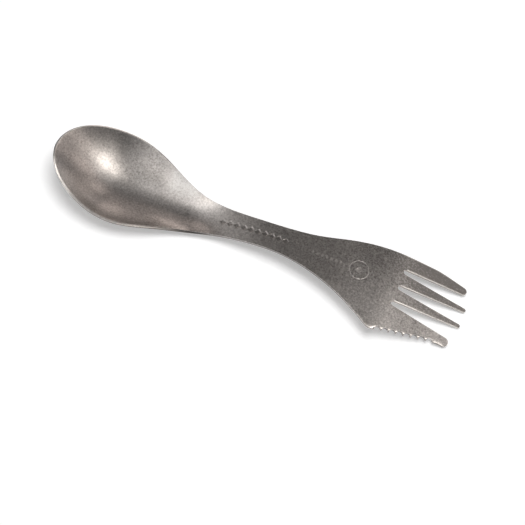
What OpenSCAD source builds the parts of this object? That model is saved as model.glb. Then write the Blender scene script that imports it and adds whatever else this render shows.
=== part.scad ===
// Camping spork pressed from one titanium sheet: a spoon bowl at one end, a waisted
// handle, and at the other end a four-tined fork whose near outer tine is a toothed knife.
// Origin under the middle of the box, +X to the fork, +Y to the plain side, +Z up.

/* [Overall] */
// Length from the spoon tip to the fork tips
total_len = 170; // [150:1:190]
// Thickness of the pressed sheet
sheet = 1.2; // [0.9:0.05:1.5]
// Rounding of the rim
edge_r = 0.3; // [0.15:0.05:0.4]

/* [Spoon end] */
// Width of the bowl at its rim
bowl_w = 37.1; // [33:0.1:41]
// Distance of the widest place from the spoon tip
bowl_at = 26.9; // [25:0.1:30]
// Depth of the bowl below its rim
bowl_depth = 7.8; // [6.5:0.1:9]
// Length over which the bowl draws in to the handle
bowl_run = 27; // [24:0.5:30]
// Length over which the bowl's sag fades out along the neck
channel_run = 49; // [45:1:55]
// Height of the spoon tip above the table
tip_h = 16; // [13:0.1:18]

/* [Handle] */
// Width of the handle at its waist
waist_w = 10.4; // [9:0.1:13]
// Distance of the low neck from the spoon tip
neck_at = 61.1; // [57:0.1:65]
// Height of the rim at the neck
neck_h = 4.1; // [3.6:0.1:6]
// Distance of the handle's crest from the spoon tip
crest_at = 101.7; // [96:0.1:106]
// Height of the handle at its crest
crest_h = 9.2; // [7.5:0.1:11]

/* [Fork end] */
// Reach of the fork head from the centreline on the plain side
plain_reach = 14; // [13:0.1:15]
// Reach of the fork head from the centreline at the knife shoulder
knife_reach = 21.2; // [19.5:0.1:22.5]
// Length of the slots between the tines
slot_len = 27.7; // [24:0.1:30]
// Distance from one slot to the next
slot_pitch = 7.1; // [6.8:0.1:7.3]
// Width of a slot at its root
slot_w = 1.95; // [1.5:0.05:2.3]
// Height of the head at the slot roots
root_h = 7.1; // [6:0.1:8.5]
// Round end of a middle tine
tine_r = 0.8; // [0.6:0.05:1]
// Round end of the plain outer tine
plain_tine_r = 1.5; // [1:0.05:1.6]
// Round end of the knife tine
knife_tine_r = 1.85; // [1.5:0.05:2]
// How much shorter the outer tines are
outer_short = 2.1; // [1.5:0.1:3.5]

/* [Knife edge] */
// Distance from one tooth to the next
tooth_pitch = 3; // [2.8:0.05:3.1]
// Width of the land left between two hollows
tooth_land = 0.15; // [0.05:0.05:0.4]
// Depth of a hollow
hollow_depth = 1.4; // [0.8:0.05:1.4]
// Width of the ground bevel along the tooth row
bevel_w = 0.9; // [0.5:0.05:1.1]
// Depth of the bevel at the teeth
bevel_drop = 0.5; // [0.2:0.05:0.6]

/* [Hidden] */
hollow_count = 8;
overrun = 3 * sheet;
// a short step for slopes
probe = edge_r / 10;
// the rim leans out past the top face at the spoon tip
tip_out = 0.38 * sheet;
// places along the length, measured from the spoon tip
shoulder_at = (bowl_at + neck_at) / 2;
waist_at = (neck_at + crest_at) / 2 + 3 * sheet;
root_at = total_len - slot_len;
knife_at = root_at - 0.21 * slot_len;
flare_at = root_at - 2 * slot_len;
plain_at = root_at - 0.97 * slot_len;
plain_run = 0.27 * slot_len;
// the tines fall in a straight line until their underside meets the table
tine_fall = (root_h - sheet) / slot_len;
tine_h = sheet * sqrt(1 + pow(tine_fall, 2));
// the tooth row runs straight in from the shoulder to the round end of the knife tine
outer_at = total_len - outer_short;
knife_end = 2 * slot_pitch;
row_len = outer_at - knife_tine_r - knife_at;
knife_slope = (knife_reach - knife_end + 0.35 * knife_tine_r) / row_len;

// side view of the rim: distance from the spoon tip, height and slope
rim_line = [
    [tip_out, tip_h, -0.23],
    [bowl_at, bowl_depth + 1.38 * sheet, -0.14],
    [shoulder_at, (bowl_depth + neck_h) / 2 + sheet, -0.21],
    [neck_at, neck_h, 0.03],
    [waist_at, crest_h - sheet, 0.13],
    [crest_at, crest_h, 0],
    [(crest_at + root_at) / 2, crest_h - 0.35 * sheet, -0.06],
    [root_at, tine_h + tine_fall * slot_len, -tine_fall],
    [total_len, tine_h, -tine_fall]
];

function hermite(a, b, t) =
    let (run = b[0] - a[0])
    (1 + 2 * t) * pow(1 - t, 2) * a[1] + t * pow(1 - t, 2) * run * a[2]
    + pow(t, 2) * (3 - 2 * t) * b[1] + pow(t, 2) * (t - 1) * run * b[2];

function rim_z(x, i = 0) =
    x <= rim_line[i + 1][0] || i == len(rim_line) - 2
        ? hermite(rim_line[i], rim_line[i + 1],
            (x - rim_line[i][0]) / (rim_line[i + 1][0] - rim_line[i][0]))
        : rim_z(x, i + 1);

// half width of the bowl, drawn in to the waist by a bell curve
tip_power = 0.54;
function spoon_half(x) = x < bowl_at
    ? bowl_w / 2 * pow(max(0, 1 - pow((bowl_at - x) / (bowl_at - tip_out), 2)), tip_power)
    : waist_w / 2 + (bowl_w - waist_w) / 2 * exp(-pow((x - bowl_at) / bowl_run, 2));

// reach on the plain side, an S curve from the waist to the head
function plain_half(x) =
    spoon_half(x) + (plain_reach - waist_w / 2) / (1 + exp(-(x - plain_at) / plain_run));

// reach on the knife side: a flare that turns into the straight tooth row
flare_power = 2.1;
flare_side = knife_reach - waist_w / 2;
function flare_half(x) = spoon_half(x)
    + flare_side * pow(max(0, x - flare_at) / (knife_at - flare_at), flare_power);
function knife_line(x) = knife_reach - knife_slope * (x - knife_at);
function soft_min(a, b, r) = (a + b - sqrt(pow(a - b, 2) + r * r)) / 2;
function corner_half(x) = soft_min(flare_half(x), knife_line(x), 0.75 * sheet);
function near_half(x) = x < knife_at ? corner_half(x) : max(knife_end + sheet / 4, corner_half(x));

// sag of the section: deep in the bowl, fading out along the neck
function sag(x) = x < bowl_at
    ? bowl_depth * pow(2 * spoon_half(x) / bowl_w, 2)
    : bowl_depth * (1 + cos(180 * min(1, (x - bowl_at) / channel_run))) / 2;

// height of the top face of the sheet over the table
function top_z(x, y) = rim_z(x) - sag(x) * (1 - pow(y / spoon_half(x), 2));

// a point of the sheet, so deep below its top face
function unit(v) = v / norm(v);
function sheet_up(x, y) = unit([
    top_z(x, y) - top_z(x + probe, y),
    top_z(x, y) - top_z(x, y + probe),
    probe
]);
function sheet_point(x, y, depth) = [x, y, top_z(x, y)] - depth * sheet_up(x, y);

// places of the sections, close together round the bowl's tip
bowl_steps = 18;
neck_steps = 26;
head_steps = 16;
fork_steps = 6;
stations = concat(
    [for (i = [0:bowl_steps - 1]) bowl_at - (bowl_at - tip_out) * cos(90 * (i + 0.4) / bowl_steps)],
    [for (i = [0:neck_steps - 1]) bowl_at + (crest_at - bowl_at) * i / neck_steps],
    [for (i = [0:head_steps - 1]) crest_at + (root_at - crest_at) * i / head_steps],
    [for (i = [0:fork_steps]) root_at + (slot_len + sheet) * i / fork_steps]
);

// one section: over the top face, round the far rim, back below, round the near rim
across_steps = 20;
function inset(reach, reach_next) = edge_r * unit([reach_next - reach, probe]);
function section(x) =
    let (
        far = plain_half(x),
        near = near_half(x),
        far_in = inset(far, plain_half(x + probe)),
        near_in = inset(near, near_half(x + probe)),
        far_point = [x + far_in[0], far - far_in[1]],
        near_point = [x + near_in[0], near_in[1] - near],
        inner = [for (k = [0:across_steps]) near_point + (far_point - near_point) * k / across_steps],
        back = [for (k = [across_steps:-1:0]) inner[k]]
    )
    concat(
        [for (p = inner) sheet_point(p[0], p[1], 0)],
        [sheet_point(x, far, edge_r), sheet_point(x, far, sheet - edge_r)],
        [for (p = back) sheet_point(p[0], p[1], sheet)],
        [sheet_point(x, -near, sheet - edge_r), sheet_point(x, -near, edge_r)]
    );

function middle(points) = [for (p = points) 1] * points / len(points);

// skin over the sections: two triangles to each cell and a fan at each end
module pressed_sheet() {
    rings = [for (x = stations) section(x)];
    ring_len = len(rings[0]);
    last = (len(rings) - 1) * ring_len;
    points = concat([for (r = rings) each r], [middle(rings[0]), middle(rings[len(rings) - 1])]);
    sides = [for (j = [0:len(rings) - 2], i = [0:ring_len - 1])
        let (a = j * ring_len + i, b = j * ring_len + (i + 1) % ring_len)
        each [[a, b, a + ring_len], [b, b + ring_len, a + ring_len]]];
    ends = [for (i = [0:ring_len - 1])
        let (next = (i + 1) % ring_len)
        each [[next, i, len(points) - 2], [last + i, last + next, len(points) - 1]]];
    polyhedron(points = points, faces = concat(sides, ends), convexity = 8);
}

// plan of the fork's end, a path round circles from the plain side to the knife side:
// each has its centre and its radius, below zero where the path bends round a slot root
slot_r = slot_w / 2;
bend_r = 1.8 * slot_len;
bend_at = root_at + 0.34 * slot_len;
comb = [
    [[bend_at, plain_reach - bend_r], bend_r],
    [[outer_at - plain_tine_r, plain_reach - 2.15 * plain_tine_r], plain_tine_r],
    [[root_at + slot_r, slot_pitch], -slot_r],
    [[total_len - tine_r, slot_pitch / 2], tine_r],
    [[root_at + slot_r, 0], -slot_r],
    [[total_len - tine_r, -slot_pitch / 2], tine_r],
    [[root_at + slot_r / 2, -slot_pitch], -slot_r],
    [[outer_at - knife_tine_r, knife_tine_r - knife_end], knife_tine_r]
];
corner_steps = 8;

// heading of the straight wall that leaves one circle and meets the next
function heading(a, b) =
    let (way = b[0] - a[0])
    atan2(way[1], way[0]) - asin((a[1] - b[1]) / norm(way));

// the arc round a circle between the walls before and after it
function corner(circle, from, to) = [for (k = [0:corner_steps])
    let (turn = from + (to - from) * k / corner_steps + 90)
    circle[0] + circle[1] * [cos(turn), sin(turn)]];

// everything past the comb: the slots and the space round the tine tips
module comb_cutter() {
    walls = concat([0], [for (i = [0:len(comb) - 2]) heading(comb[i], comb[i + 1])], [-180]);
    path = [for (i = [0:len(comb) - 1]) each corner(comb[i], walls[i], walls[i + 1])];
    linear_extrude(height = 2 * root_h + 2 * overrun, center = true)
        polygon(concat(path, [
            [outer_at - 3 * knife_tine_r, -knife_end],
            [outer_at - 3 * knife_tine_r, -knife_reach - overrun],
            [total_len + overrun, -knife_reach - overrun],
            [total_len + overrun, plain_reach + overrun],
            [bend_at, plain_reach + overrun]
        ]));
}

// the hollows ground into the knife edge, in a row along its line
first_at = knife_at + 1.35 * tooth_pitch;
row_angle = atan(knife_slope);
hollow_r = (pow(tooth_pitch - tooth_land, 2) / 4 + pow(hollow_depth, 2)) / (2 * hollow_depth);
module tooth_hollows() {
    translate([first_at, -knife_line(first_at), 0])
        rotate([0, 0, row_angle])
            for (i = [0:hollow_count - 1])
                translate([i * tooth_pitch, hollow_depth - hollow_r, -overrun])
                    cylinder(h = 2 * root_h + overrun, r = hollow_r, $fn = 48);
}

// the bevel ground along the row, a wedge laid on the falling top face of the knife tine;
// it runs from beside the first tooth to the middle of the last hollow
module bevel_cutter() {
    fall_angle = atan(tine_fall);
    lead = tooth_pitch / 2 + 2 * tooth_land;
    translate([first_at, -knife_line(first_at), top_z(first_at, 0)])
        rotate([0, fall_angle, 0])
            rotate([0, 0, row_angle])
                translate([-lead, 0, 0])
                    rotate([90, 0, 90])
                        linear_extrude(height = lead + (hollow_count - 1) * tooth_pitch)
                            polygon([
                                [bevel_w, 0],
                                [-bevel_w, -2 * bevel_drop],
                                [-bevel_w, overrun],
                                [bevel_w, overrun]
                            ]);
}

// the box of the part stands with its middle over the origin
rim_out = (sheet - edge_r) * sin(atan(4 * bowl_depth / bowl_w));
side_shift = (knife_line(knife_at + 0.53 * tooth_pitch) - bowl_w / 2 - rim_out) / 2;

module spork() {
    color([0.55, 0.54, 0.52])
        translate([-total_len / 2, side_shift, 0])
            difference() {
                pressed_sheet();
                comb_cutter();
                tooth_hollows();
                bevel_cutter();
            }
}

spork();
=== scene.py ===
import math

import bmesh
import bpy
from mathutils import Matrix, Vector


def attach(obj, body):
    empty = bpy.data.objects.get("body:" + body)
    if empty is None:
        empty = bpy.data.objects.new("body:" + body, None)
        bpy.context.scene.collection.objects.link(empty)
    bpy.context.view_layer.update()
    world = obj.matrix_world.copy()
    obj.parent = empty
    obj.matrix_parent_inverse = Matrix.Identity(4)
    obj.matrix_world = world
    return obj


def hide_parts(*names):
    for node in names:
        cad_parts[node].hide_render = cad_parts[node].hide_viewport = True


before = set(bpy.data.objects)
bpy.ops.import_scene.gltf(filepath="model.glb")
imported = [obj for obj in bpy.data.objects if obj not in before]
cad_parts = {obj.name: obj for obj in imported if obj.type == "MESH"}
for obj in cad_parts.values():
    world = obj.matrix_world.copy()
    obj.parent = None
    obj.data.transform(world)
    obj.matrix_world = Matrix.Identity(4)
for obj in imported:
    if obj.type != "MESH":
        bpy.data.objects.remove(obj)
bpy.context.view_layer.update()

# The spork is one blank of titanium sheet, pressed in a die: the spoon end is dished,
# the neck is left as a shallow channel and the fork end is bent down to its tips.
# Sizes are in millimetres, measured from the spoon tip, +Y to the plain side.
MM = 0.001
TOTAL = 170.0
SHEET = 1.2
BOWL_W, BOWL_AT, BOWL_DEPTH, BOWL_RUN, TIP_H = 37.1, 26.9, 7.8, 27.0, 16.0
WAIST_W, NECK_AT, NECK_H, CREST_AT, CREST_H = 10.4, 61.1, 4.1, 101.7, 9.2
PLAIN_REACH, KNIFE_REACH, SLOT_LEN, SLOT_PITCH = 14.0, 21.2, 27.7, 7.1
SLOT_R, ROOT_H, TINE_R, PLAIN_TINE_R, KNIFE_TINE_R, OUTER_SHORT = 0.975, 7.1, 0.8, 1.5, 1.85, 2.1
TIP_OUT = 0.38 * SHEET
CHANNEL_RUN = 49.0
NOSE_POWER = 0.54
ROOT_AT = TOTAL - SLOT_LEN
OUTER_AT = TOTAL - OUTER_SHORT
KNIFE_AT = ROOT_AT - 0.21 * SLOT_LEN
FLARE_AT = ROOT_AT - 2 * SLOT_LEN
FLARE_POWER = 2.1
SHOULDER_ROUND = 0.75 * SHEET
PLAIN_AT = ROOT_AT - 0.97 * SLOT_LEN
PLAIN_RUN = 0.27 * SLOT_LEN
BEND_R = 1.8 * SLOT_LEN
BEND_AT = ROOT_AT + 0.34 * SLOT_LEN
KNIFE_END = 2 * SLOT_PITCH
TINE_FALL = (ROOT_H - SHEET) / SLOT_LEN
TINE_H = SHEET * math.hypot(1, TINE_FALL)
KNIFE_SLOPE = (KNIFE_REACH - KNIFE_END + 0.35 * KNIFE_TINE_R) / (OUTER_AT - KNIFE_TINE_R - KNIFE_AT)

# the rim line's knots: how far along, how high and how steep
RIM_LINE = [
    (TIP_OUT, TIP_H, -0.23),
    (BOWL_AT, BOWL_DEPTH + 1.38 * SHEET, -0.14),
    ((BOWL_AT + NECK_AT) / 2, (BOWL_DEPTH + NECK_H) / 2 + SHEET, -0.21),
    (NECK_AT, NECK_H, 0.03),
    ((NECK_AT + CREST_AT) / 2 + 3 * SHEET, CREST_H - SHEET, 0.13),
    (CREST_AT, CREST_H, 0.0),
    ((CREST_AT + ROOT_AT) / 2, CREST_H - 0.35 * SHEET, -0.06),
    (ROOT_AT, TINE_H + TINE_FALL * SLOT_LEN, -TINE_FALL),
    (TOTAL, TINE_H, -TINE_FALL),
]


def rim_z(x):
    """Height of the rim line over the table."""
    k = 0
    while k < len(RIM_LINE) - 2 and x > RIM_LINE[k + 1][0]:
        k += 1
    (x0, z0, s0), (x1, z1, s1) = RIM_LINE[k], RIM_LINE[k + 1]
    run = x1 - x0
    t = (x - x0) / run
    return ((1 + 2 * t) * (1 - t) ** 2 * z0 + t * (1 - t) ** 2 * run * s0
            + t * t * (3 - 2 * t) * z1 + t * t * (t - 1) * run * s1)


def spoon_half(x):
    """Half the width of the bowl and the handle, without the fork head's flares."""
    if x < BOWL_AT:
        return BOWL_W / 2 * max(1e-9, 1 - ((BOWL_AT - x) / (BOWL_AT - TIP_OUT)) ** 2) ** NOSE_POWER
    return WAIST_W / 2 + (BOWL_W - WAIST_W) / 2 * math.exp(-((x - BOWL_AT) / BOWL_RUN) ** 2)


def sag(x):
    """How far the middle of the sheet lies below its rims."""
    if x < BOWL_AT:
        return BOWL_DEPTH * (2 * spoon_half(x) / BOWL_W) ** 2
    return BOWL_DEPTH * (1 + math.cos(math.pi * min(1, (x - BOWL_AT) / CHANNEL_RUN))) / 2


def top_z(x, y):
    return rim_z(x) - sag(x) * (1 - (y / spoon_half(x)) ** 2)


def plain_side(x):
    """The far edge: an S curve out to the head, then an arc and a straight run to the outer tine."""
    edge = spoon_half(x) + (PLAIN_REACH - WAIST_W / 2) / (1 + math.exp(-(x - PLAIN_AT) / PLAIN_RUN))
    if x < BEND_AT:
        return edge
    wall = walls[0]
    leaves = BEND_AT + BEND_R * math.sin(math.atan(wall(BEND_AT) - wall(BEND_AT + 1)))
    if x > leaves:
        return wall(x)
    return min(edge, PLAIN_REACH - BEND_R + math.sqrt(BEND_R ** 2 - (x - BEND_AT) ** 2))


def knife_line(x):
    """The slanting line that the tooth row is set out along, as a reach below the centreline."""
    return KNIFE_REACH - KNIFE_SLOPE * (x - KNIFE_AT)


def head_side(x):
    """The near edge before the teeth are cut, as a reach below the centreline."""
    rise = max(0.0, x - FLARE_AT) / (KNIFE_AT - FLARE_AT)
    flare = spoon_half(x) + (KNIFE_REACH - WAIST_W / 2) * rise ** FLARE_POWER
    line = knife_line(x)
    edge = (flare + line - math.hypot(flare - line, SHOULDER_ROUND)) / 2
    return edge if x < KNIFE_AT else max(KNIFE_END, edge)


# the knife edge: hollows ground side by side along the slanting line, lands left between them
HOLLOW_DEPTH, TOOTH_PITCH, TOOTH_LAND, HOLLOWS = 1.4, 3.0, 0.15, 8
HOLLOW_R = ((TOOTH_PITCH - TOOTH_LAND) ** 2 / 4 + HOLLOW_DEPTH ** 2) / (2 * HOLLOW_DEPTH)
BEVEL_W, BEVEL_DROP = 0.9, 0.5
TOOTH_ROWS = 12
ROW_TURN = math.atan(KNIFE_SLOPE)
FIRST_HOLLOW = KNIFE_AT + 1.35 * TOOTH_PITCH
TOOTH_STEP = TOOTH_PITCH * math.cos(ROW_TURN)


def along_row(a, depth):
    """The place in plan, so far along the tooth row and so deep inside its line."""
    return (FIRST_HOLLOW + a * math.cos(ROW_TURN) - depth * math.sin(ROW_TURN),
            a * math.sin(ROW_TURN) + depth * math.cos(ROW_TURN) - knife_line(FIRST_HOLLOW))


def tooth_edge(m):
    """Row m of the knife edge: how far along it is and how deep the hollow is there."""
    k, step = divmod(m, TOOTH_ROWS)
    if step == 0:
        return (k - 0.5) * TOOTH_PITCH, 0.0
    widest = math.acos(1 - HOLLOW_DEPTH / HOLLOW_R)
    turn = widest * (2 * (step - 1) / (TOOTH_ROWS - 2) - 1)
    return k * TOOTH_PITCH + HOLLOW_R * math.sin(turn), HOLLOW_R * (math.cos(turn) - 1) + HOLLOW_DEPTH


# circles at the tine tips (radius over zero) and slot roots (radius below zero), far side first;
# the knife tine's slot is cut a little deeper than the others
COMB = [
    ((BEND_AT, PLAIN_REACH - BEND_R), BEND_R),
    ((OUTER_AT - PLAIN_TINE_R, PLAIN_REACH - 2.15 * PLAIN_TINE_R), PLAIN_TINE_R),
    ((ROOT_AT + SLOT_R, SLOT_PITCH), -SLOT_R),
    ((TOTAL - TINE_R, SLOT_PITCH / 2), TINE_R),
    ((ROOT_AT + SLOT_R, 0.0), -SLOT_R),
    ((TOTAL - TINE_R, -SLOT_PITCH / 2), TINE_R),
    ((ROOT_AT + SLOT_R / 2, -SLOT_PITCH), -SLOT_R),
    ((OUTER_AT - KNIFE_TINE_R, KNIFE_TINE_R - KNIFE_END), KNIFE_TINE_R),
]


def straight_wall(a, b):
    """The wall that touches two circles, as a function that gives its y at x."""
    (ax, ay), ar = a
    (bx, by), br = b
    turn = math.atan2(by - ay, bx - ax) - math.asin((ar - br) / math.hypot(bx - ax, by - ay))
    px, py = ax - ar * math.sin(turn), ay + ar * math.cos(turn)
    return lambda x: py + (x - px) * math.tan(turn)


walls = [straight_wall(COMB[k], COMB[k + 1]) for k in range(len(COMB) - 1)]

# the row of lozenges that is stamped into the handle
STAMP_FROM, STAMP_TO, STAMP_PITCH, STAMP_ASIDE = 69.0, 97.0, 2.8, 0.2
STAMP_SIZE, STAMP_SOFT, STAMP_DEPTH = 1.15, 0.4, 0.1

# the net of the top face: columns from the tooth side to the plain side, with a gap at each slot
ACROSS = 60
GAPS = ((16, 22), (30, 36), (44, 50))
GAP_COLUMNS = 6
CAP_ROWS, BODY_ROWS, HEAD_ROWS, TINE_ROWS, END_ROWS = 40, 208, 16, 93, 5
ROW = TOOTH_STEP / TOOTH_ROWS
FINE_AT = FIRST_HOLLOW - TOOTH_STEP / 2
TOOTH_ROW = CAP_ROWS + BODY_ROWS
ROOT_ROW = TOOTH_ROW + HEAD_ROWS
ROWS = ROOT_ROW + TINE_ROWS + END_ROWS
BLEND_ROWS = 10
BLEND_RUN = 4.0
LEAST_STRIP = 0.12
# rows and where they lie along the body: they are closer together under the lozenges
BODY = (
    (CAP_ROWS, BOWL_AT),
    (CAP_ROWS + 48, STAMP_FROM),
    (CAP_ROWS + 168, STAMP_TO),
    (TOOTH_ROW, FINE_AT),
)


def smooth(t):
    """A soft step from 0 to 1."""
    t = min(1.0, max(0.0, t))
    return t * t * (3 - 2 * t)


def row_x(i):
    """Where a row of the net lies along the blank, behind the spoon's round end."""
    for (row_a, at_a), (row_b, at_b) in zip(BODY, BODY[1:]):
        if i <= row_b:
            return at_a + (at_b - at_a) * (i - row_a) / (row_b - row_a)
    return FINE_AT + ROW * (i - TOOTH_ROW)


def strip_y(x, j, wall_y):
    """The y of column j where the net follows the slots; wall_y holds the six slot walls."""
    near, far = -head_side(x), plain_side(x)
    for g, (a, b) in enumerate(GAPS):
        if a <= j <= b:
            middle = (wall_y[2 * g] + wall_y[2 * g + 1]) / 2
            half = (wall_y[2 * g + 1] - wall_y[2 * g]) / 2
            return middle + half * math.sin(math.pi * ((j - a) / (b - a) - 0.5))
    if j < GAPS[0][0]:
        first = near + BEVEL_W
        return first + (wall_y[0] - first) * (j - 1) / (GAPS[0][0] - 1) if j else near
    if j > GAPS[2][1]:
        return wall_y[5] + (far - wall_y[5]) * (j - GAPS[2][1]) / (ACROSS - GAPS[2][1])
    g = 0 if j < GAPS[1][0] else 1
    a, b = GAPS[g][1], GAPS[g + 1][0]
    return wall_y[2 * g + 1] + (wall_y[2 * g + 2] - wall_y[2 * g + 1]) * (j - a) / (b - a)


def slot_walls(x):
    """The y of the six slot walls, from the tooth side to the plain side."""
    return [walls[k](x) for k in (6, 5, 4, 3, 2, 1)]


ROOT_WALLS = [middle + side for middle in (-SLOT_PITCH, 0.0, SLOT_PITCH) for side in (-SLOT_R, SLOT_R)]
ROOT_SHIFT = [(0, 0.0), (GAP_COLUMNS, 0.0)]
for g, cut in enumerate((COMB[6], COMB[4], COMB[2])):
    for j in range(GAPS[g][0], GAPS[g][1] + 1):
        turn = math.pi * ((j - GAPS[g][0]) / GAP_COLUMNS - 0.5)
        ROOT_SHIFT.append((j, cut[0][0] - SLOT_R * math.cos(turn) - row_x(ROOT_ROW)))
ROOT_SHIFT.append((ACROSS, 0.0))


def root_shift(j):
    """How far the net is drawn back along column j so that a row ends round a slot's root."""
    for (ja, sa), (jb, sb) in zip(ROOT_SHIFT, ROOT_SHIFT[1:]):
        if j <= jb:
            return sa + (sb - sa) * (j - ja) / max(1, jb - ja)


def place(i, j):
    """The place in plan of the net's point on row i and column j, on the edge of the hollows too."""
    inner = GAPS[0][0]
    m = i - TOOTH_ROW
    if not (0 <= m <= HOLLOWS * TOOTH_ROWS and j < inner):
        return plain_place(i, j)
    a, depth = tooth_edge(m)
    if j == 0:
        x, y = along_row(a, depth)
        return x, max(y, -head_side(x))
    ax, ay = along_row(a, max(BEVEL_W, depth + LEAST_STRIP))
    bx, by = plain_place(i, inner)
    t = (j - 1) / (inner - 1)
    return ax + (bx - ax) * t, ay + (by - ay) * t


def plain_place(i, j):
    """The same without the hollows: the spoon's round end, the body, and the tines past the roots."""
    u = 2 * j / ACROSS - 1
    if i < CAP_ROWS:
        v = 1 - i / CAP_ROWS
        along = v * math.sqrt(1 - u * u / 2)
        across = u * math.sqrt(1 - v * v / 2)
        x = BOWL_AT - along * (BOWL_AT - TIP_OUT)
        rim = math.sqrt(max(1e-12, 1 - along * along))
        return x, across / rim * spoon_half(x)
    if i <= ROOT_ROW:
        x = row_x(i) + root_shift(j) * smooth(1 - (ROOT_ROW - i) / BLEND_ROWS)
        near, far = head_side(x), plain_side(x)
        even = -near + (near + far) * j / ACROSS
        full = strip_y(row_x(ROOT_ROW), j, ROOT_WALLS)
        root_near, root_far = head_side(row_x(ROOT_ROW)), plain_side(row_x(ROOT_ROW))
        scaled = -near + (full + root_near) * (near + far) / (root_near + root_far)
        blend = smooth((x - CREST_AT) / (ROOT_AT - SLOT_LEN / 3 - CREST_AT))
        y = even + (scaled - even) * blend
        if x > FINE_AT - BLEND_RUN:
            y += (strip_y(x, j, ROOT_WALLS) - y) * smooth((x - FINE_AT + BLEND_RUN) / BLEND_RUN)
        return x, y
    # past the roots every tine has its own rows, up to the middle of its round end
    k = 3 if j <= GAPS[0][0] else 2 if j <= GAPS[1][0] else 1 if j <= GAPS[2][0] else 0
    (tip_x, tip_y), tip_r = (COMB[1], COMB[3], COMB[5], COMB[7])[k]
    a, b = ((GAPS[2][1], ACROSS), (GAPS[1][1], GAPS[2][0]), (GAPS[0][1], GAPS[1][0]), (0, GAPS[0][0]))[k]
    t = min(1.0, (i - ROOT_ROW) / TINE_ROWS)
    start = row_x(ROOT_ROW)
    x = start + (tip_x - start) * t + root_shift(j) * smooth(1 - (i - ROOT_ROW) / BLEND_ROWS)
    if k == 3:
        ahead = start + ROW * (i - ROOT_ROW)
        x = ahead + root_shift(j) * smooth(1 - (i - ROOT_ROW) / BLEND_ROWS) if t < 1 else tip_x
    if i <= ROOT_ROW + TINE_ROWS:
        return x, strip_y(x, j, slot_walls(x))
    v = (i - ROOT_ROW - TINE_ROWS) / END_ROWS
    w = 2 * (j - a) / (b - a) - 1
    return tip_x + tip_r * v * math.sqrt(1 - w * w / 2), tip_y + tip_r * w * math.sqrt(1 - v * v / 2)


# every edge has its burr tumbled off: it is rounded a little, and a band of the wall is kept for that
BODY_ROUND, TINE_ROUND = 0.3, 0.07
BODY_BAND, TINE_BAND = 0.36, 0.14
# the sheared wall's painted light runs from painted shade, under zero, to a painted reflection; the
# rounded edges have a little polish at the least
WALL_PAINTED_SHADE, WALL_PAINTED_REFLECTION, TIP_PAINTED_REFLECTION, RIM_SHINE = -0.5, 0.7, 0.65, 0.12
TIP_PAINTED_REFLECTION_TO, TIP_PAINTED_REFLECTION_RUN, SLOT_PAINTED_REFLECTION_RUN = 50.0, 22.0, 3.0


def down(x, y):
    """Square to the sheet's face and down: the sheet gets its thickness this way."""
    step = 0.05
    x = min(TOTAL - step, max(TIP_OUT + step + 0.01, x))
    y = min(spoon_half(x), max(-spoon_half(x), y)) if x < BOWL_AT else y
    slope_along = top_z(x + step, y) - top_z(x - step, y)
    slope_across = top_z(x, y + step) - top_z(x, y - step)
    return Vector((slope_along, slope_across, -2 * step)).normalized()


def rim_band(x):
    """How much of the wall's height is kept for the rounding at its top and bottom."""
    return BODY_BAND + (TINE_BAND - BODY_BAND) * smooth((x - FINE_AT + 1) / 2)


def painted_wall_light_and_shade(x, y):
    """Painted light on the wall: a painted reflection in the slots and round the spoon's tip, painted
    shade along the handle and the teeth.
    """
    slots = smooth((x - ROOT_AT + SLOT_PAINTED_REFLECTION_RUN) / SLOT_PAINTED_REFLECTION_RUN) * smooth(y + KNIFE_END)
    tip = TIP_PAINTED_REFLECTION * smooth((TIP_PAINTED_REFLECTION_TO - x) / TIP_PAINTED_REFLECTION_RUN)
    return WALL_PAINTED_SHADE + (WALL_PAINTED_REFLECTION - WALL_PAINTED_SHADE) * max(slots, tip)


# the net of the top face, without the faces that lie in the slots
blank = bmesh.new()
rubbed = blank.verts.layers.float.new("rubbed")
bmesh.ops.create_grid(blank, x_segments=ROWS, y_segments=ACROSS, size=0.5)
net = {}
for vert in blank.verts:
    i = round((vert.co.x + 0.5) * ROWS)
    j = round((vert.co.y + 0.5) * ACROSS)
    net[i, j] = vert
spare = []
for face in blank.faces:
    middle = face.calc_center_median()
    i = (middle.x + 0.5) * ROWS
    j = (middle.y + 0.5) * ACROSS
    if i > ROOT_ROW and any(a < j < b for a, b in GAPS):
        spare.append(face)
for (i, j), vert in net.items():
    in_gap = i > ROOT_ROW and any(a < j < b for a, b in GAPS)
    if not in_gap:
        x, y = place(i, j)
        vert.co = (x, y, top_z(min(x, TOTAL), y) if x > TIP_OUT + 1e-6 else TIP_H)
bmesh.ops.delete(blank, geom=spare, context="FACES")

# the sheet's thickness, in three bands of wall
faces = blank.faces[:]
for band in range(3):
    under = bmesh.ops.extrude_face_region(blank, geom=faces)["geom"]
    faces = [item for item in under if isinstance(item, bmesh.types.BMFace)]
    for vert in under:
        if isinstance(vert, bmesh.types.BMVert):
            rim = rim_band(vert.co.x)
            vert.co += (SHEET - 2 * rim if band == 1 else rim) * down(vert.co.x, vert.co.y)
            # the wall carries its painted reflection and painted shade in this attribute
            vert[rubbed] = painted_wall_light_and_shade(vert.co.x, vert.co.y) if band < 2 else 0.0

# the bevel ground on the top side of the teeth, up to the last hollow
for vert in net.values():
    if vert.is_valid and vert.co.x > FINE_AT - TOOTH_PITCH:
        ahead, aside = vert.co.x - FIRST_HOLLOW, vert.co.y + knife_line(FIRST_HOLLOW)
        a = ahead * math.cos(ROW_TURN) + aside * math.sin(ROW_TURN)
        depth = aside * math.cos(ROW_TURN) - ahead * math.sin(ROW_TURN)
        in_row = -TOOTH_PITCH / 2 - 2 * TOOTH_LAND < a < (HOLLOWS - 1) * TOOTH_PITCH
        if depth < BEVEL_W and in_row:
            vert.co.z -= BEVEL_DROP * (1 - depth / BEVEL_W)

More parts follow.
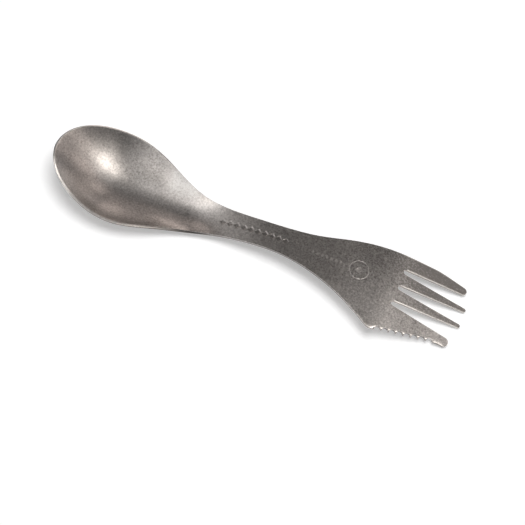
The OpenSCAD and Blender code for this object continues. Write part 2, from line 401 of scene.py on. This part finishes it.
# the lozenges are stamped into the top face
for vert in net.values():
    if vert.is_valid and STAMP_FROM < vert.co.x < STAMP_TO:
        beside = abs((vert.co.x - STAMP_FROM) % STAMP_PITCH - STAMP_PITCH / 2)
        reach = beside + abs(vert.co.y - STAMP_ASIDE)
        vert.co.z -= STAMP_DEPTH * smooth(0.5 + (STAMP_SIZE - reach) / STAMP_SOFT)
bmesh.ops.recalc_face_normals(blank, faces=blank.faces)
blank.normal_update()

# the edges are rounded
corners = [e for e in blank.edges if len(e.link_faces) == 2 and e.calc_face_angle() > math.radians(50)]
tines = [e for e in corners if (e.verts[0].co.x + e.verts[1].co.x) / 2 > FINE_AT]
body = [e for e in corners if (e.verts[0].co.x + e.verts[1].co.x) / 2 <= FINE_AT]
for edges, width, segments in ((body, BODY_ROUND, 3), (tines, TINE_ROUND, 2)):
    edges = [e for e in edges if e.is_valid]
    rounded = bmesh.ops.bevel(blank, geom=edges, offset=width, segments=segments, profile=0.5,
                              affect="EDGES", material=-1, clamp_overlap=True)
    # the rounded faces get a little real polish and half of the wall's painted reflection
    for face in rounded["faces"]:
        for vert in face.verts:
            vert[rubbed] = max(RIM_SHINE, painted_wall_light_and_shade(vert.co.x, vert.co.y) / 2)

# the ornament shows on the top face alone
upper = blank.verts.layers.float.new("upper")
for vert in blank.verts:
    vert[upper] = 1.0 if vert.co.z > top_z(min(vert.co.x, TOTAL), vert.co.y) - SHEET / 3 else 0.0

# into the part's frame, in metres
SIDE_SHIFT = 0.83
bmesh.ops.scale(blank, vec=(MM, MM, MM), verts=blank.verts)
bmesh.ops.translate(blank, vec=(-TOTAL / 2 * MM, SIDE_SHIFT * MM, 0), verts=blank.verts)
blank.normal_update()
mesh = bpy.data.meshes.new("pressed_sheet")
blank.to_mesh(mesh)
blank.free()
pressed_sheet = bpy.data.objects.new("pressed_sheet", mesh)
bpy.context.scene.collection.objects.link(pressed_sheet)
for polygon in mesh.polygons:
    polygon.use_smooth = True
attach(pressed_sheet, "root")
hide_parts("spork")


class Port:
    """One socket of a material; sums and products of ports add their Math nodes."""

    def __init__(self, tree, socket):
        self.tree = tree
        self.socket = socket

    def maths(self, operation, a, b):
        return node(self.tree, "ShaderNodeMath", {"operation": operation}, {0: a, 1: b})

    def __add__(self, other):
        return self.maths("ADD", self, other)

    def __radd__(self, other):
        return self.maths("ADD", other, self)

    def __sub__(self, other):
        return self.maths("SUBTRACT", self, other)

    def __rsub__(self, other):
        return self.maths("SUBTRACT", other, self)

    def __mul__(self, other):
        return self.maths("MULTIPLY", self, other)

    def __abs__(self):
        return self.maths("ABSOLUTE", self, 0)

    def under(self, limit, soft):
        """1 where the port is under a limit and 0 where it is over, with a soft step between."""
        return node(self.tree, "ShaderNodeMath", {"operation": "MULTIPLY_ADD", "use_clamp": True},
                    {0: self, 1: -1 / soft, 2: limit / soft + 0.5})

    def in_cell(self, start, pitch):
        """How far the port is from the middle of its cell, in a row of cells that starts there."""
        return (self.maths("FRACT", (self - start) * (1 / pitch), 0) - 0.5) * pitch

    def ease(self, start, end, low, high):
        """A smooth step from one value to another between two limits of the port."""
        return node(self.tree, "ShaderNodeMapRange", {"interpolation_type": "SMOOTHSTEP"},
                    {"Value": self, "From Min": start, "From Max": end, "To Min": low, "To Max": high})


def node(tree, kind, settings=None, inputs=None, output=0):
    """Adds a node, gives it its settings and then the values or ports of its sockets."""
    made = tree.nodes.new(kind)
    for name, value in (settings or {}).items():
        if name == "stops":
            ramp = made.color_ramp
            while len(ramp.elements) < len(value):
                ramp.elements.new(0.5)
            for stop, (at, shade) in zip(ramp.elements, value):
                stop.position = at
                stop.color = shade
        else:
            setattr(made, name, value)
    for name, value in (inputs or {}).items():
        if isinstance(value, Port):
            tree.links.new(value.socket, made.inputs[name])
        else:
            made.inputs[name].default_value = value
    if len(made.outputs):
        return Port(tree, made.outputs[output])


titanium = bpy.data.materials.new("blasted_titanium")
titanium.use_nodes = True
tree = titanium.node_tree
tree.nodes.clear()
where = node(tree, "ShaderNodeTexCoord", output="Object")
along = node(tree, "ShaderNodeSeparateXYZ", inputs={"Vector": where}, output=0) * 1000 + TOTAL / 2
aside = node(tree, "ShaderNodeSeparateXYZ", inputs={"Vector": where}, output=1) * 1000 - SIDE_SHIFT
edge = node(tree, "ShaderNodeAttribute", {"attribute_name": "rubbed"}, output="Fac")
upper = node(tree, "ShaderNodeAttribute", {"attribute_name": "upper"}, output="Fac")
grain, fleck, cloud = [
    node(tree, "ShaderNodeTexNoise",
         inputs={"Vector": where, "Scale": scale, "Detail": detail, "Roughness": rough})
    for scale, detail, rough in ((1400.0, 2.0, 0.6), (4200.0, 1.0, 0.5), (60.0, 3.0, 0.55))
]
speckle = (grain - 0.5) * 1.5 + (fleck - 0.5) * 0.8

# painted light and shade: on the neck's far side a painted highlight with painted shade before it towards
# the bowl, painted shade along the neck's near side, painted fill light on the bowl's floor, a painted
# warm glint by the near rim, the head painted lighter towards the teeth and darker towards the plain side,
# painted shade along the handle and towards the tines' tips, and a painted highlight on the knife tine's
# end
head = along.ease(112, 130, 0, 1)
painted_handle_shade = along.ease(74, 90, 0, 1) - head
neck = (along.ease(22, 30, 0, 1) * along.ease(40, 49, -0.25, 1) * along.ease(60, 76, 1, 0)
        * aside.ease(0, 7, 0, 1))
neck_painted_highlight = along.ease(40, 49, 0, 1) * along.ease(54, 62, 1, 0) * aside.ease(2, 9, 0, 1)
neck_painted_shade = along.ease(40, 46, 0, 1) * along.ease(54, 62, 1, 0) * aside.ease(-9.5, -7, 1, 0)
knife_end_painted_highlight = along.ease(152, 163, 0, 1) * aside.ease(-10, -8, 1, 0)
bowl_painted_fill_light = along.ease(20, 28, 0, 1) * along.ease(50, 58, 1, 0) * abs(aside - 0.5).under(3, 5)
painted_warm_glint = abs(along - 20).under(4, 8) * abs(aside + 11.5).under(2, 3)
painted_shade_to_tips = along.ease(134, 157, 0, 1)
painted_light_and_shade = (head * aside.ease(-15, 11, 0.33, -0.22) - painted_handle_shade * 0.18 + neck * 0.45
             + neck_painted_highlight * 0.42 - neck_painted_shade * 0.3 - painted_shade_to_tips * 0.42 + knife_end_painted_highlight * 0.32
             + bowl_painted_fill_light * 0.35 + painted_warm_glint * 0.6)

# the plain ornament: a dark ground in the lozenges, and a row of dots and a ring as fine lines
DOTS_FROM, DOTS_TO, DOTS_PITCH, DOT_R2 = 106.0, 119.3, 1.9, 0.3
RING_AT, RING_R, RING_LINE, RING_HEART = 126.0, 3.8, 0.17, 1.4
cell = along.in_cell(STAMP_FROM, STAMP_PITCH)
in_row = abs(along - (STAMP_FROM + STAMP_TO) / 2).under((STAMP_TO - STAMP_FROM) / 2, 0.1)
lozenges = (abs(cell) + abs(aside - STAMP_ASIDE)).under(STAMP_SIZE, 0.35) * in_row * upper
cell = along.in_cell(DOTS_FROM, DOTS_PITCH)
in_row = abs(along - (DOTS_FROM + DOTS_TO) / 2).under((DOTS_TO - DOTS_FROM) / 2, 0.1)
dots = (cell * cell + aside * aside).under(DOT_R2, 0.3) * in_row
ahead = along - RING_AT
from_ring = abs(ahead.maths("POWER", ahead * ahead + aside * aside, 0.5) - RING_R)
ring = from_ring.under(RING_LINE, 0.2) + (abs(ahead) + abs(aside)).under(RING_HEART, 0.3)
scribed = (dots + ring) * upper

# painted shade on the sheared wall where its painted light is under zero; the tone adds it, and the
# painted light and shade above, to the blast's grain and mottling
painted_wall_shade = edge.maths("MINIMUM", edge, 0)
tone = speckle * (1 + head * 0.45) + 0.5 + (cloud - 0.5) * 0.12 + painted_light_and_shade
tone = tone - lozenges * 0.4 + scribed * 0.45 + painted_wall_shade * 1.2
greys = [(0.0, (0.235, 0.221, 0.213, 1)), (0.7, (0.615, 0.582, 0.567, 1)), (1.0, (0.8, 0.78, 0.765, 1))]
colour = node(tree, "ShaderNodeValToRGB", {"stops": greys}, {"Fac": tone * 0.7})
# the rounded edges mix towards pale metal for their polish, and the sheared walls for their painted
# reflection
bright = node(tree, "ShaderNodeMix", {"data_type": "RGBA"},
              {"Factor": edge * 0.9, 6: colour, 7: (0.8, 0.78, 0.75, 1)}, output=2)
roughness = 0.33 + speckle * 0.08 + edge * 0.05
relief = (grain * 0.5 + fleck * 0.25) * (1 - edge * 0.8) - scribed * 0.6
bumps = node(tree, "ShaderNodeBump", inputs={"Strength": 0.5, "Distance": 0.0001, "Height": relief})
skin = node(tree, "ShaderNodeBsdfPrincipled",
            inputs={"Base Color": bright, "Metallic": 1.0, "Roughness": roughness, "Normal": bumps})
node(tree, "ShaderNodeOutputMaterial", inputs={"Surface": skin})
mesh.materials.append(titanium)

# The photograph's table is plain white and keeps only the soft shadow.
floor_mesh = bpy.data.meshes.new("floor")
table = bmesh.new()
bmesh.ops.create_grid(table, x_segments=1, y_segments=1, size=3.0)
bmesh.ops.translate(table, vec=(0, 0, -0.0001), verts=table.verts)
table.to_mesh(floor_mesh)
table.free()
floor = bpy.data.objects.new("floor", floor_mesh)
bpy.context.scene.collection.objects.link(floor)
paper = bpy.data.materials.new("white_floor")
paper.use_nodes = True
tree = paper.node_tree
tree.nodes.clear()
ray = tree.nodes.new("ShaderNodeLightPath")
seen = (Port(tree, ray.outputs["Is Camera Ray"]) + Port(tree, ray.outputs["Is Glossy Ray"])
        + Port(tree, ray.outputs["Is Transmission Ray"]))
matt = node(tree, "ShaderNodeBsdfDiffuse", inputs={"Color": (0.8, 0.8, 0.8, 1)})
glow = node(tree, "ShaderNodeEmission", inputs={"Color": (1, 1, 1, 1), "Strength": seen * 0.34})
both = node(tree, "ShaderNodeAddShader", inputs={0: matt, 1: glow})
node(tree, "ShaderNodeOutputMaterial", inputs={"Surface": both})
floor_mesh.materials.append(paper)

# The soft light round the table: round diffusers on a dome, dimmest behind the spork, and warm
# ones low down. They shine on the metal; the ceiling's even light lays the floor's shadow.
world = bpy.data.worlds.new("room")
bpy.context.scene.world = world
world.use_nodes = True
tree = world.node_tree
tree.nodes.clear()
glow = node(tree, "ShaderNodeBackground", inputs={"Color": (1, 0.99, 0.99, 1), "Strength": 0.11})
node(tree, "ShaderNodeOutputWorld", inputs={"Surface": glow})

NEUTRAL, SUNNY, WARM = (1, 0.99, 0.97), (1.04, 1, 0.94), (1.12, 0.98, 0.9)
# elevation and azimuth in degrees, power in watts and tint of each diffuser
DIFFUSERS = [
    (52, 0, 1.25, SUNNY), (72, 0, 0.73, SUNNY), (30, 0, 0.21, WARM), (52, 30, 0.17, NEUTRAL),
    (52, 330, 0.34, SUNNY), (52, 180, 0.5, NEUTRAL), (52, 210, 1.04, SUNNY), (72, 180, 0.41, NEUTRAL),
    (52, 240, 0.38, NEUTRAL), (30, 240, 0.59, NEUTRAL), (52, 270, 0.12, NEUTRAL), (72, 270, 0.19, NEUTRAL),
    (52, 150, 0.2, NEUTRAL), (30, 30, 0.29, WARM), (30, 60, 0.24, WARM), (30, 90, 0.1, WARM),
    (30, 120, 0.23, WARM), (8, 90, 0.48, WARM), (8, 60, 0.12, WARM),
    (10, 200, 0.4, NEUTRAL), (10, 235, 0.25, NEUTRAL), (10, 270, 0.25, NEUTRAL), (10, 305, 0.12, NEUTRAL),
]
DOME_R, DIFFUSER_W = 0.85, 0.3
CEILING_POWER, CEILING_ANGLE, CEILING_FROM = 2.35, 36, (88, 109)


def lamp(name, kind, elevation, azimuth, power):
    """A light on the dome that looks at the spork, and its data."""
    data = bpy.data.lights.new(name, kind)
    data.energy = power
    made = bpy.data.objects.new(name, data)
    bpy.context.scene.collection.objects.link(made)
    e, a = math.radians(elevation), math.radians(azimuth)
    made.location = Vector((math.cos(e) * math.cos(a), math.cos(e) * math.sin(a), math.sin(e))) * DOME_R
    made.rotation_euler = (-made.location).to_track_quat("-Z", "Y").to_euler()
    return made, data


for elevation, azimuth, power, tint in DIFFUSERS:
    diffuser, disk = lamp("diffuser", "AREA", elevation, azimuth, power)
    disk.shape = "DISK"
    disk.size = DIFFUSER_W
    disk.color = tint
    diffuser.visible_diffuse = False
ceiling, ceiling_light = lamp("ceiling_light", "SUN", *CEILING_FROM, CEILING_POWER)
ceiling_light.angle = math.radians(CEILING_ANGLE)
ceiling.visible_glossy = False

# The photograph looks down at the spork from its tooth side, with the picture turned.
LOOK_DOWN, PICTURE_TURN = math.radians(64.5), math.radians(21.1)
DISTANCE, PICTURE, PIXELS_PER_MM = 2.5, 525, 2.608
view = Vector((0, math.cos(LOOK_DOWN), -math.sin(LOOK_DOWN)))
across = Vector((math.cos(PICTURE_TURN), math.sin(PICTURE_TURN) * math.sin(LOOK_DOWN),
                 math.sin(PICTURE_TURN) * math.cos(LOOK_DOWN)))
upward = across.cross(view).normalized()
camera_data = bpy.data.cameras.new("camera")
camera_data.sensor_width = 36.0
camera_data.lens = PIXELS_PER_MM * camera_data.sensor_width / PICTURE * DISTANCE / MM
camera_data.clip_start = 0.01
camera = bpy.data.objects.new("camera", camera_data)
bpy.context.scene.collection.objects.link(camera)
target = Vector((0.00524, -0.0106, 0.00795))
turn = Matrix((across, upward, -view)).transposed()
camera.matrix_world = Matrix.Translation(target - view * DISTANCE) @ turn.to_4x4()
bpy.context.scene.camera = camera
bpy.context.scene.view_settings.view_transform = "Standard"
